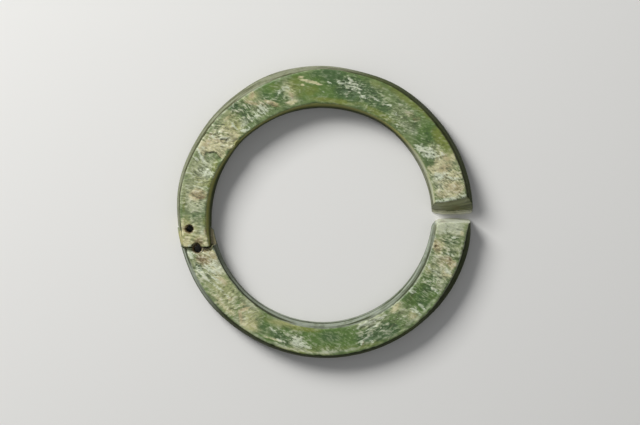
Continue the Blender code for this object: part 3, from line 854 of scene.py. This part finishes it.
UPPER_SCARS = (
    ((160.0, 27.2, 2.8, 2.4, 60, 1.0), 0.12, 0.40),
    ((130.0, 26.2, 2.6, 2.8, 40, 1.0), 0.12, 0.25),
    ((143.0, 24.0, 1.6, 1.0, -20, 1.0), 0.20, 0.15),
    ((33.0, 27.6, 2.4, 1.6, -55, 1.0), 0.08, 0.30),
    ((104.0, 27.4, 3.0, 1.4, 12, 1.0), 0.06, 0.30),
    ((78.0, 26.2, 2.4, 1.6, -15, 1.0), 0.06, 0.30),
)
UPPER_LEDGES = (
    (152.0, 26.6, 1.5, -19, 0.44, 1.8), (152.4, 25.0, 1.0, -66, 0.44, 1.4),
    (143.8, 25.5, 2.1, -12, 0.16, 0.7), (136.8, 25.8, 1.4, -57, 0.10, 0.6),
    (166.5, 27.0, 3.4, -9, 0.08, 0.5), (107.0, 24.6, 1.6, 25, 0.08, 0.8),
)
UPPER_DENTS = (
    (141.6, 23.4, 4.6, 1.0, 0.35), (151.7, 24.3, 4.6, 0.9, 0.30), (153.4, 24.9, 5.0, 0.7, 0.18),
    (27, 25.8, 5.0, 0.5, 0.08), (194.6, 28.6, 5.0, 0.6, 0.15), (187.0, 29.6, 4.9, 0.9, 0.12),
)

upper_half = fine_copy("upper_half_ring", "upper_half_stone")
work_surface(
    upper_half, UPPER_FABRIC, UPPER_PLACES, UPPER_SCARS, UPPER_LEDGES, UPPER_DENTS,
    UPPER_TOP, UPPER_SOFT_ARRIS, slit_side=1.0, seed=11
)
grey_film_and_light(upper_half, UPPER_FILM_AND_LIGHT_OUTSIDE, UPPER_FILM_AND_LIGHT_IN_OPENING)
upper_half.data.materials.append(stone_material(
    "green_jade_upper", UPPER_TOP, UPPER_TILT, UPPER_STEEP_TILT, UPPER_FILM_AND_LIGHT_TINTS, UPPER_SAWN_TINTS
))
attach(upper_half, "root")
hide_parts("upper_half_ring")


# The lower half of the ring.
# The other half hoop of the same jade, from the slit round the bottom to the break, where it is
# thinned to a tongue under the upper half's end and drilled for the lacing.

LOWER_TOP = 4.5
LOWER_SOFT_ARRIS = (355, 356)
# The grey coat lies mostly where the walls face the light: partly wear, partly painted light.
LOWER_FILM_AND_LIGHT_OUTSIDE = (150, 220)
LOWER_FILM_AND_LIGHT_IN_OPENING = (175, 362)
LOWER_FILM_AND_LIGHT_TINTS = (srgb(66, 72, 52), srgb(142, 149, 134))
LOWER_SAWN_TINTS = (srgb(178, 182, 160), srgb(208, 211, 190), srgb(168, 168, 132))
LOWER_TILT = -26.0
LOWER_STEEP_TILT = 20.0
LOWER_FABRIC = (
    (204, 16, -30), (228, 16, -38), (252, 16, -18), (274, 14, -24), (296, 16, 24), (318, 14, -14),
    (332, 12, -28), (350, 14, -6),
)
# As the upper half's, from the break round to the slit. The milky places at a radius of 29.45 are a pale
# worn line along the outer arris, partly painted highlight.
LOWER_PLACES = {
    "rough": (
        (205, 27.4, 5, 4, 60, 1), (222, 27.2, 5, 3, -50, 0.9), (234, 27, 3.2, 3, 0, 0.65),
        (256, 27.6, 5, 2.2, -20, 0.7), (272, 28.6, 4, 0.9, 0, 0.4), (292, 26.4, 5.4, 3, 18, 0.75),
        (307, 27.4, 4, 3, 30, 0.75), (323, 27.8, 1.6, 2.6, -45, 0.5), (330, 27.2, 4, 4, 60, 0.9),
        (340, 27, 4.6, 4, 80, 0.9), (351, 27, 2.4, 3.6, 0, 0.5),
    ),
    "pale": (
        (194, 23.3, 4, 1.4, 100, 0.9), (199, 27.4, 3, 3.4, 60, 0.55), (203, 27.5, 4, 3.8, 60, 0.8),
        (212, 26.8, 4, 3, -40, 0.7), (217, 27, 4.6, 3.4, -45, 0.5), (222, 24.9, 5, 0.9, -46, 0.7),
        (222, 27.6, 4, 3, -50, 0.7), (227, 28.6, 2, 1, -45, 0.6), (228, 27.4, 3, 3, -50, 0.45),
        (232, 25, 3, 1.3, -40, 1.3), (235, 27.2, 2.8, 3.2, -20, 1), (237.4, 26.4, 1.4, 1.4, 0, 0.6),
        (250.2, 24.9, 4.2, 1.2, -10, 0.95), (258.5, 27.8, 1.8, 2, -20, 0.6),
        (262, 28.8, 2, 1, -8, 0.6), (262.5, 26.8, 1.6, 1.4, 0, 0.45), (272, 28.9, 1.6, 0.6, 0, 0.3),
        (293.4, 25, 4.2, 1.4, 20, 0.8), (302.6, 26.8, 1.2, 1, 30, 0.35),
        (307, 25.4, 1.8, 1.6, 40, 0.6), (307.6, 26.8, 1.4, 1.2, 30, 0.6),
        (310.5, 28.6, 1.6, 1.4, 30, 0.7), (322.4, 25, 1.2, 1.2, 45, 0.45),
        (327, 28.4, 1.6, 2, -30, 0.5), (332, 26.8, 2.4, 3.4, -40, 0.8),
        (338, 26.6, 3.6, 3.8, -60, 0.45), (342.4, 28.7, 1.4, 0.8, -60, 0.5),
        (345, 26.6, 3.6, 3.6, 0, 0.6), (352, 26.6, 4.4, 2.6, 0, 0.9), (354.4, 26.9, 4.2, 1.8, 0, 1),
    ),
    "leaf": (
        (218.5, 28.6, 2.4, 0.8, -50, 0.4), (228, 26.6, 1.6, 0.9, -50, 0.6),
        (242, 26, 2.4, 1.6, -20, 0.7), (246, 28.9, 2.6, 1, -20, 0.7), (252, 26.8, 2.4, 1.4, -30, 0.8),
        (266, 26.4, 3.6, 2.6, -5, 1), (273, 26.6, 4, 2.8, 0, 1.15), (281, 27, 3.6, 3, 5, 1),
        (298, 25.6, 1.4, 0.8, 20, 0.4), (300, 28.6, 3, 1, 30, 0.8), (302, 27.4, 2.8, 2.2, 30, 0.6),
        (314, 25, 1.6, 1.4, 45, 1), (317.5, 26.6, 2.4, 3.6, 45, 1.4), (322, 26.4, 1.6, 2.8, 45, 1),
        (323, 28.9, 1.6, 0.9, 40, 0.9), (327.4, 26.7, 1.1, 1.3, -30, 1),
        (328, 25.4, 1.4, 1.2, 0, 0.6),
    ),
    "olive": (
        (215, 24.8, 3, 0.9, -58, 0.3), (222, 25.2, 4, 1, -50, 0.3), (226, 28.8, 3, 0.8, -48, 0.4),
        (240, 25.2, 3, 1, -30, 0.4), (248, 25.4, 2, 1, -20, 0.5), (252, 24.8, 2.6, 0.8, -16, 0.6),
        (256, 30, 8, 0.6, -14, 0.6), (260.4, 24.8, 3.6, 0.9, -8, 1), (270, 28.6, 5, 0.8, 0, 0.4),
        (280, 28.8, 4, 0.6, 6, 0.4), (290, 29.4, 6, 0.6, 20, 0.6), (315, 25, 1.8, 0.9, 45, 0.6),
        (345, 29.4, 3, 0.5, 74, 0.5),
    ),
    "deep": (
        (202.6, 27, 1.2, 1.2, -30, 0.6), (204.5, 28.6, 0.9, 1.8, 0, 0.7),
        (242, 27.4, 2.8, 1.7, -30, 0.55), (250, 27.6, 2.6, 1.3, -30, 0.8),
        (253, 28, 1.4, 1.6, -30, 0.7), (273, 26.4, 3, 1.4, 0, 0.8), (288, 27.9, 2.6, 1.7, 10, 0.95),
        (297, 28.2, 3.4, 1.9, 22, 1.25), (314.5, 25.2, 0.9, 1.6, -50, 0.7),
        (318, 27.8, 1.8, 1.8, 40, 0.6), (322.5, 27.2, 1.2, 2, -45, 0.7),
        (326.5, 26.6, 0.9, 1.8, -40, 0.5), (337, 26, 1.2, 0.8, -40, 0.4),
        (342.4, 26.8, 1.8, 1.5, -10, 0.6), (347.2, 27.2, 2, 1.3, -14, 0.6),
    ),
    "straw": (
        (191, 29.8, 4.4, 1, 78, 1.1), (196.5, 24.6, 1.6, 1, -60, 0.6), (202, 24.8, 1.6, 1, -60, 0.6),
        (217, 26.8, 4.4, 2.6, -50, 0.55), (225, 27.8, 3, 1.8, -48, 0.45), (235, 26.4, 2, 2.2, 0, 0.5),
        (236, 28.2, 2.6, 1.8, -30, 0.85), (250, 24.8, 4, 0.7, -10, 0.6), (262, 29.4, 7, 0.5, -8, 0.5),
        (306.4, 25.4, 1.6, 0.7, 40, 0.5), (311, 28.2, 1.4, 1.2, 30, 0.5),
        (332, 25.2, 1.4, 1.2, 0, 0.5), (337, 27.8, 3, 2, -50, 0.25), (343, 25.4, 2, 1.6, -60, 0.5),
    ),
    "milky": (
        (206.4, 25, 1.6, 1, -60, 0.8), (207.8, 25, 1.9, 1.2, -50, 1), (209, 24.6, 2, 0.8, -50, 0.5),
        (232.4, 24.8, 1.6, 0.9, -40, 0.5), (233, 28.6, 1.8, 1.6, -40, 0.5),
        (241, 29.45, 3.2, 0.4, -29, 0.5), (251, 29.45, 3.2, 0.4, -19, 0.5),
        (258.6, 27.8, 1.8, 1.4, -30, 0.5), (261, 29.45, 3.2, 0.4, -9, 0.6),
        (271, 29.45, 3.2, 0.4, 1, 0.65), (281, 29.45, 3, 0.4, 11, 0.5), (291, 24.9, 3, 0.8, 20, 0.5),
        (292.4, 25.2, 2, 0.8, 20, 0.8), (309, 29.45, 3.2, 0.4, 39, 0.45),
        (319, 29.45, 3.2, 0.4, 49, 0.45), (329, 29.45, 3.2, 0.4, 59, 0.4),
        (331.5, 27.4, 1.8, 1.6, -30, 0.4), (346, 29.45, 3, 0.4, 76, 0.4), (351, 25, 1.4, 1.4, 0, 0.6),
        (352.6, 28.4, 1.4, 1.4, -10, 0.8), (353.6, 26.4, 3.2, 1.8, 8, 1),
    ),
    "cream": (
        (207.6, 25.3, 2, 1.1, -60, 0.9), (212, 25.8, 2.8, 0.7, -35, 0.7),
        (222, 28.8, 3, 0.5, -48, 0.6), (226.8, 28.6, 1.6, 0.7, -45, 0.5),
        (228.6, 26, 0.8, 0.35, 20, 0.7), (231.1, 26.2, 1.3, 0.32, 22, 1.3),
        (231.9, 28.2, 1.5, 0.32, 94, 1.4), (234.5, 28.7, 1.2, 0.8, -40, 0.7),
        (237.5, 28.2, 1.6, 0.9, -30, 0.5), (248, 28.7, 2.2, 0.2, -16, 0.6),
        (301, 27.8, 1.2, 0.25, 40, 0.5), (306.6, 25, 1.5, 0.6, 40, 0.8),
        (311, 28.8, 1.2, 0.4, 50, 0.4), (333, 28.6, 1.4, 1.4, -40, 0.8),
        (335, 27.8, 1.6, 0.6, -50, 0.3), (337.4, 29.1, 1.4, 0.5, 66, 0.8),
        (343, 25.2, 1.8, 1.1, 70, 0.6), (351, 29.1, 0.5, 0.8, 20, 0.7),
    ),
    "tan": (
        (194, 23.4, 3.6, 0.9, 100, 1), (197, 26.2, 1.6, 1.2, 0, 0.8), (202, 25, 1.4, 1, -60, 0.9),
        (202, 26.9, 1.8, 1.6, 0, 0.95), (214, 25.8, 1.6, 0.5, -40, 0.6),
        (220, 28.4, 1, 0.5, -48, 0.4), (223, 26.8, 0.6, 0.4, 0, 0.7), (229, 25.4, 0.8, 0.4, -60, 0.5),
        (230.8, 26.4, 1.4, 0.6, 22, 0.8), (231.6, 28, 1.6, 0.6, 94, 0.8),
        (311, 29, 0.9, 0.5, 30, 0.4), (336, 26.2, 1.2, 0.5, -50, 0.5),
        (337.6, 26.9, 1.4, 1, -50, 0.5), (338, 28.4, 1.7, 1, -50, 0.95), (339, 27, 1, 0.5, -20, 0.5),
        (343, 24.7, 1.6, 0.9, -70, 0.9),
    ),
    # Frost: whitish stone and painted glints.
    "frost_and_glint": (
        (198, 29.2, 1.1, 0.6, -60, 0.7), (203.4, 28.7, 1.2, 0.5, -60, 0.5),
        (207, 28.6, 2, 0.4, -40, 0.6), (207.2, 25.2, 1.8, 0.7, -50, 0.8),
        (207.5, 26.6, 2.4, 0.5, -38, 0.8), (211, 27, 1.8, 0.4, -30, 0.6),
        (212, 27.8, 2.6, 0.35, -36, 0.6), (218, 27, 2.4, 0.3, -42, 0.4),
        (247, 27, 1.2, 0.25, -40, 0.25), (251, 28.4, 1.6, 0.2, -24, 0.35),
        (258.6, 27.8, 1.8, 1.1, -35, 0.8), (262.5, 28.6, 1.4, 0.4, -20, 0.5),
        (286.4, 28.4, 1, 0.25, 62, 0.6), (287.4, 25.4, 1, 0.4, 20, 0.2), (288, 28, 1.6, 0.3, 25, 0.6),
        (290, 28.8, 0.9, 0.25, -30, 0.4), (292, 25.1, 2.8, 0.5, 22, 0.8),
        (293, 26.2, 1.6, 0.3, 28, 0.7), (298, 25.4, 1.4, 0.35, 40, 0.5),
        (312.5, 28.4, 1.2, 0.5, -40, 0.7), (315.8, 28.4, 1.2, 0.35, -40, 0.8),
        (318, 24.9, 0.9, 0.7, 20, 0.9), (324.6, 28.3, 1.2, 0.35, -40, 0.7),
        (326, 25.8, 1, 0.25, -28, 0.5), (329, 27.6, 2, 0.2, -30, 0.25),
        (331.5, 26, 1.6, 0.4, -30, 0.7), (334, 28.8, 0.9, 0.5, -30, 0.8),
        (341, 27.6, 1.6, 0.25, -10, 0.5), (346, 27, 2, 0.2, -8, 0.4),
        (348.6, 27.8, 0.8, 0.4, -10, 0.6), (350.4, 26.2, 1, 0.5, -20, 0.5),
        (355.9, 27, 3.4, 0.4, -2, 0.9),
    ),
    "brown": (
        # The first two brown places lie just below the upper half's end at the lap: brown stone and
        # painted shade there.
        (195.8, 26.4, 1.6, 0.7, 0, 0.7), (197.4, 26, 2, 1, -20, 0.7),
        (201.2, 27.4, 1.3, 0.9, -20, 0.8), (203.2, 26.2, 0.9, 0.3, -20, 0.6),
        (222.5, 26.6, 0.5, 0.25, 0, 0.6), (226, 28.6, 0.5, 0.3, 0, 0.5),
        (286.5, 28.8, 0.8, 0.2, 70, 0.7), (338, 26.4, 0.9, 0.25, -40, 0.6),
        (339, 28, 0.8, 0.3, -50, 0.8), (342.6, 24.3, 0.4, 0.35, 0, 1),
    ),
}
LOWER_SCARS = (
    ((318.0, 27.6, 2.4, 2.4, 45, 1.0), 0.14, 0.20),
    ((242.0, 27.2, 2.6, 1.8, -30, 1.0), 0.10, 0.25),
    ((292.0, 27.0, 3.0, 1.6, 20, 1.0), 0.08, 0.30),
    ((196.4, 27.4, 4.4, 0.8, 0, 1.0), 0.30, 0.30),
)
LOWER_LEDGES = (
    (322.0, 27.6, 2.0, -44, 0.10, 0.9), (303.5, 26.6, 1.8, 34, 0.08, 0.7),
    (257.0, 28.4, 2.6, -28, 0.08, 0.6), (246.0, 28.4, 3.0, -18, 0.10, 0.5),
    (287.5, 28.2, 1.2, -66, 0.08, 0.5),
)
LOWER_DENTS = (
    (342.6, 24.3, 4.5, 0.45, 0.25), (197.0, 25.4, 4.5, 1.4, 0.45), (195.6, 28.8, 4.5, 1.0, 0.25),
)

lower_half = fine_copy("lower_half_ring", "lower_half_stone")
work_surface(
    lower_half, LOWER_FABRIC, LOWER_PLACES, LOWER_SCARS, LOWER_LEDGES, LOWER_DENTS,
    LOWER_TOP, LOWER_SOFT_ARRIS, slit_side=-1.0, seed=23
)
grey_film_and_light(lower_half, LOWER_FILM_AND_LIGHT_OUTSIDE, LOWER_FILM_AND_LIGHT_IN_OPENING)
lower_half.data.materials.append(stone_material(
    "green_jade_lower", LOWER_TOP, LOWER_TILT, LOWER_STEEP_TILT, LOWER_FILM_AND_LIGHT_TINTS, LOWER_SAWN_TINTS
))
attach(lower_half, "root")
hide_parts("lower_half_ring")


# The table, the lights and the camera.
# A plain pale table top, a large soft light from the upper left and a weak even fill, and a camera
# that looks straight down on the ring from so high that it is as large as in the photograph.

TABLE_SIZE = 4.0
TABLE_DROP = 0.0001
TABLE_TINT = srgb(216, 215, 211)
TABLE_ROUGHNESS = 0.8
KEY_PLACE = (-0.36, 0.36, 0.36)
KEY_SIZE = 0.26
KEY_POWER = 5.0
FILL_PLACE = (0.25, -0.20, 0.60)
FILL_SIZE = 0.50
FILL_POWER = 0.3
SURROUND_TINT = (0.93, 0.95, 1.0, 1.0)
SURROUND_STRENGTH = 0.24
LENS = 150.0
SENSOR = 36.0
PHOTO_PIXELS = 640
PIXELS_PER_MM = 4.77
VIEW_WIDTH = PHOTO_PIXELS / PIXELS_PER_MM * MM
VIEW_CENTRE = (-0.001036, -0.000123)
WIDEST_HEIGHT = 0.0018

bpy.ops.mesh.primitive_plane_add(size=TABLE_SIZE, location=(0.0, 0.0, -TABLE_DROP))
table = bpy.context.object
table.name = "table_top"
table_material = bpy.data.materials.new("pale_table")
table_material.use_nodes = True
table_shader = table_material.node_tree.nodes["Principled BSDF"]
table_shader.inputs["Base Color"].default_value = TABLE_TINT
table_shader.inputs["Roughness"].default_value = TABLE_ROUGHNESS
table.data.materials.append(table_material)


def soft_light(name, place, size, power):
    """A square light aimed at the ring."""
    lamp = bpy.data.lights.new(name, "AREA")
    lamp.size = size
    lamp.energy = power
    made = bpy.data.objects.new(name, lamp)
    bpy.context.scene.collection.objects.link(made)
    made.location = place
    made.rotation_euler = made.location.to_track_quat("Z", "Y").to_euler()


soft_light("key_light", KEY_PLACE, KEY_SIZE, KEY_POWER)
soft_light("fill_light", FILL_PLACE, FILL_SIZE, FILL_POWER)
surround = bpy.data.worlds.new("studio")
bpy.context.scene.world = surround
surround.use_nodes = True
surround.node_tree.nodes["Background"].inputs["Color"].default_value = SURROUND_TINT
surround.node_tree.nodes["Background"].inputs["Strength"].default_value = SURROUND_STRENGTH
bpy.context.scene.view_settings.view_transform = "Standard"

camera = bpy.data.cameras.new("camera")
camera.lens = LENS
camera.sensor_width = SENSOR
camera_object = bpy.data.objects.new("camera", camera)
bpy.context.scene.collection.objects.link(camera_object)
camera_object.location = (*VIEW_CENTRE, WIDEST_HEIGHT + VIEW_WIDTH * LENS / SENSOR)
bpy.context.scene.camera = camera_object
